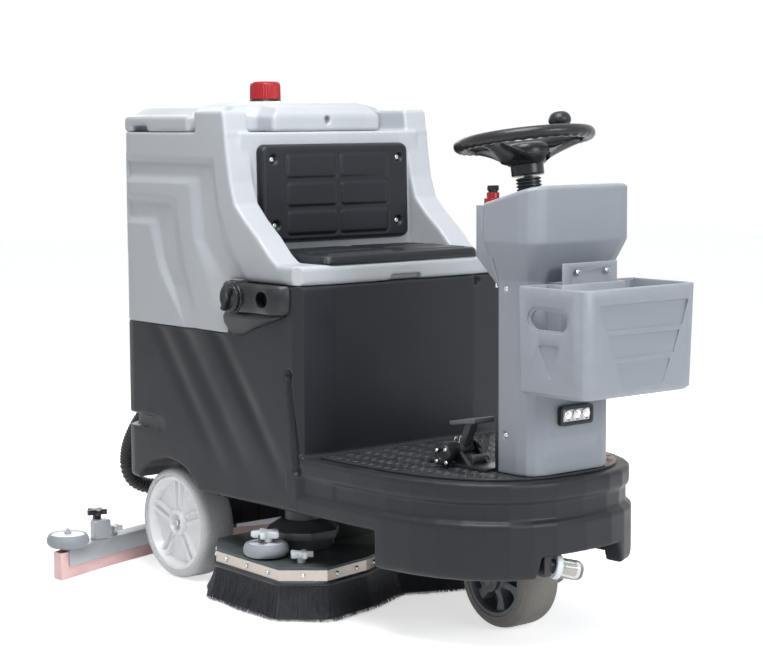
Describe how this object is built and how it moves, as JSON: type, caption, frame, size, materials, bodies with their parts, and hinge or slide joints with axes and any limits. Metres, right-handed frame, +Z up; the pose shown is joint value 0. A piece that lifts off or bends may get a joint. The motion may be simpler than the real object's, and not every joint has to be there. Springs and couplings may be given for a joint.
{
  "type": "ride-on floor scrubber",
  "caption": "Ride-on floor scrubber with seat, steering column, front basket, lifting brush deck, rear squeegee and tilting recovery tank.",
  "frame": {"origin": "on the floor, under the middle of the machine length measured without the suction hose", "axes": "the machine faces -Y, its left side is +X, +Z is up"},
  "size_m": [1.175, 1.8941, 1.3416],
  "materials": {
    "charcoal_plastic": "fine moulded texture",
    "light_plastic": "satin rotomoulded",
    "mid_plastic": "satin rotomoulded",
    "black_plastic": "satin",
    "pad_foam": "leather-grained soft foam",
    "black_rubber": "matt",
    "mat_rubber": "diamond tread",
    "tyre_rubber": "grey polyurethane",
    "dark_tyre": "worn rubber",
    "silver_rim": "silver white satin",
    "dark_rim": "satin",
    "frame_steel": "black paint",
    "bright_steel": "bright",
    "clear_plastic": "clear",
    "red_plastic": "gloss",
    "deck_paint": "dark green grey powder coat",
    "bristle": "black nylon bristle",
    "brush_nylon": "nylon bristle",
    "roller_grey": "soft grey rubber",
    "white_plastic": "satin",
    "beam_metal": "brushed",
    "blade_rubber": "salmon polyurethane",
    "battery_case": "satin",
    "motor_grey": "satin paint"
  },
  "bodies": {
    "chassis": {"lower_body": "charcoal_plastic", "frame": "frame_steel", "rear_axle": "bright_steel", "battery_pack": "battery_case", "steering_gearbox": "motor_grey", "column_shell": "mid_plastic", "column_back": "black_plastic", "headlight_frame": "black_plastic", "headlight_lens": "clear_plastic", "basket_bracket": "mid_plastic", "basket": "mid_plastic", "steering_boot": "black_rubber", "deck_mat": "mat_rubber", "pedal_bracket": "black_plastic", "filler_neck": "black_plastic", "filter_head": "black_plastic", "isolator_base": "red_plastic", "control_panel": "motor_grey", "tank_hinge": "bright_steel", "hose_port": "black_plastic", "suction_hose": "black_rubber"},
    "steering": {"steering_shaft": "bright_steel", "steering_wheel": "black_plastic"},
    "spinner": {"spinner_knob": "black_plastic"},
    "fork": {"steering_fork": "frame_steel", "drive_motor": "motor_grey"},
    "front_wheel": {"front_tyre": "dark_tyre", "front_rim": "dark_rim"},
    "rear_wheel_right": {"rear_tyre_right": "tyre_rubber", "rear_rim_right": "silver_rim"},
    "rear_wheel_left": {"rear_tyre_left": "tyre_rubber", "rear_rim_left": "silver_rim"},
    "pedal": {"throttle_pedal": "black_plastic"},
    "cap": {"filler_cap": "black_plastic"},
    "bowl": {"filter_bowl": "clear_plastic"},
    "key": {"isolator_key": "black_plastic"},
    "tank": {"recovery_tank": "light_plastic", "seat_pad": "pad_foam", "backrest_pad": "pad_foam", "vacuum_motor": "motor_grey"},
    "lid": {"tank_lid": "light_plastic", "beacon_base": "black_plastic", "beacon_lens": "red_plastic"},
    "brush_deck": {"deck_plate": "deck_paint", "bristle_skirt": "bristle", "gear_motor_right": "motor_grey", "gear_motor_left": "motor_grey"},
    "squeegee": {"squeegee_beam": "beam_metal", "squeegee_blade": "blade_rubber", "squeegee_arm": "frame_steel"},
    "brush_right": {"brush_right": "brush_nylon"},
    "deck_roller_right": {"deck_roller_right": "roller_grey"},
    "deck_knob_right": {"deck_knob_right": "white_plastic"},
    "tip_roller_right": {"tip_roller_right": "roller_grey"},
    "yoke_knob_right": {"yoke_knob_right": "black_plastic"},
    "brush_left": {"brush_left": "brush_nylon"},
    "deck_roller_left": {"deck_roller_left": "roller_grey"},
    "deck_knob_left": {"deck_knob_left": "white_plastic"},
    "tip_roller_left": {"tip_roller_left": "roller_grey"},
    "yoke_knob_left": {"yoke_knob_left": "black_plastic"}
  },
  "joints": [
    {"name": "fork_turn", "type": "hinge", "parent": "chassis", "child": "fork", "pos_m": [0, -0.469, 0.3], "axis": [0, 0, 1], "range_deg": [-80, 80]},
    {"name": "steering_turn", "type": "hinge", "parent": "chassis", "child": "steering", "pos_m": [0, -0.52453, 1.134], "axis": [0, 0.1564, 0.9877], "range_deg": [-160, 160]},
    {"name": "spinner_spin", "type": "hinge", "parent": "steering", "child": "spinner", "pos_m": [0.15412, -0.4874, 1.19474], "axis": [0, 0.1564, 0.9877], "continuous": true},
    {"name": "front_wheel_roll", "type": "hinge", "parent": "fork", "child": "front_wheel", "pos_m": [0, -0.469, 0.123], "axis": [1, 0, 0], "continuous": true},
    {"name": "rear_wheel_right_roll", "type": "hinge", "parent": "chassis", "child": "rear_wheel_right", "pos_m": [-0.274, 0.511, 0.15], "axis": [1, 0, 0], "continuous": true},
    {"name": "rear_wheel_left_roll", "type": "hinge", "parent": "chassis", "child": "rear_wheel_left", "pos_m": [0.274, 0.511, 0.15], "axis": [1, 0, 0], "continuous": true},
    {"name": "throttle_press", "type": "hinge", "parent": "chassis", "child": "pedal", "pos_m": [-0.12, -0.434, 0.448], "axis": [1, 0, 0], "range_deg": [0, 14], "stiffness_Nm_per_rad": 3, "springref_deg": -11.46},
    {"name": "filler_cap_turn", "type": "hinge", "parent": "chassis", "child": "cap", "pos_m": [-0.3898, 0.141, 0.792], "axis": [-1, 0, 0], "range_deg": [0, 90]},
    {"name": "filter_bowl_turn", "type": "hinge", "parent": "chassis", "child": "bowl", "pos_m": [-0.07825, -0.69888, 0.19506], "axis": [0.8729, -0.4364, -0.2182], "range_deg": [0, 90]},
    {"name": "isolator_turn", "type": "hinge", "parent": "chassis", "child": "key", "pos_m": [-0.1, -0.514, 1.0666], "axis": [0, 0, 1], "range_deg": [0, 90]},
    {"name": "tank_tilt", "type": "hinge", "parent": "chassis", "child": "tank", "pos_m": [0, 0.732, 0.692], "axis": [-1, 0, 0], "range_deg": [0, 60]},
    {"name": "lid_open", "type": "hinge", "parent": "tank", "child": "lid", "pos_m": [0, 0.722, 1.2063], "axis": [-1, 0, 0], "range_deg": [0, 75]},
    {"name": "brush_deck_lift", "type": "slide", "parent": "chassis", "child": "brush_deck", "axis": [0, 0, 1], "range_m": [0, 0.055]},
    {"name": "squeegee_lift", "type": "hinge", "parent": "chassis", "child": "squeegee", "pos_m": [0, 0.616, 0.215], "axis": [1, 0, 0], "range_deg": [0, 12], "deforming": ["suction_hose"]},
    {"name": "brush_right_spin", "type": "hinge", "parent": "brush_deck", "child": "brush_right", "pos_m": [-0.195, 0.106, 0.066], "axis": [0, 0, 1], "continuous": true},
    {"name": "deck_roller_right_spin", "type": "hinge", "parent": "brush_deck", "child": "deck_roller_right", "pos_m": [-0.346, 0.063, 0.1333], "axis": [0, 0, 1], "continuous": true},
    {"name": "deck_knob_right_turn", "type": "hinge", "parent": "brush_deck", "child": "deck_knob_right", "pos_m": [-0.32, -0.049, 0.1333], "axis": [0, 0, 1], "continuous": true},
    {"name": "tip_roller_right_spin", "type": "hinge", "parent": "squeegee", "child": "tip_roller_right", "pos_m": [-0.53, 0.71633, 0.0803], "axis": [0, 0, 1], "continuous": true},
    {"name": "yoke_knob_right_turn", "type": "hinge", "parent": "squeegee", "child": "yoke_knob_right", "pos_m": [-0.4, 0.774, 0.1343], "axis": [0, 0, 1], "continuous": true},
    {"name": "brush_left_spin", "type": "hinge", "parent": "brush_deck", "child": "brush_left", "pos_m": [0.195, 0.106, 0.066], "axis": [0, 0, 1], "continuous": true},
    {"name": "deck_roller_left_spin", "type": "hinge", "parent": "brush_deck", "child": "deck_roller_left", "pos_m": [0.346, 0.063, 0.1333], "axis": [0, 0, 1], "continuous": true},
    {"name": "deck_knob_left_turn", "type": "hinge", "parent": "brush_deck", "child": "deck_knob_left", "pos_m": [0.32, -0.049, 0.1333], "axis": [0, 0, 1], "continuous": true},
    {"name": "tip_roller_left_spin", "type": "hinge", "parent": "squeegee", "child": "tip_roller_left", "pos_m": [0.53, 0.71633, 0.0803], "axis": [0, 0, 1], "continuous": true},
    {"name": "yoke_knob_left_turn", "type": "hinge", "parent": "squeegee", "child": "yoke_knob_left", "pos_m": [0.4, 0.774, 0.1343], "axis": [0, 0, 1], "continuous": true}
  ],
  "couplings": [
    {"joint": "steering_turn", "follows": "fork_turn", "ratio": 2}
  ]
}
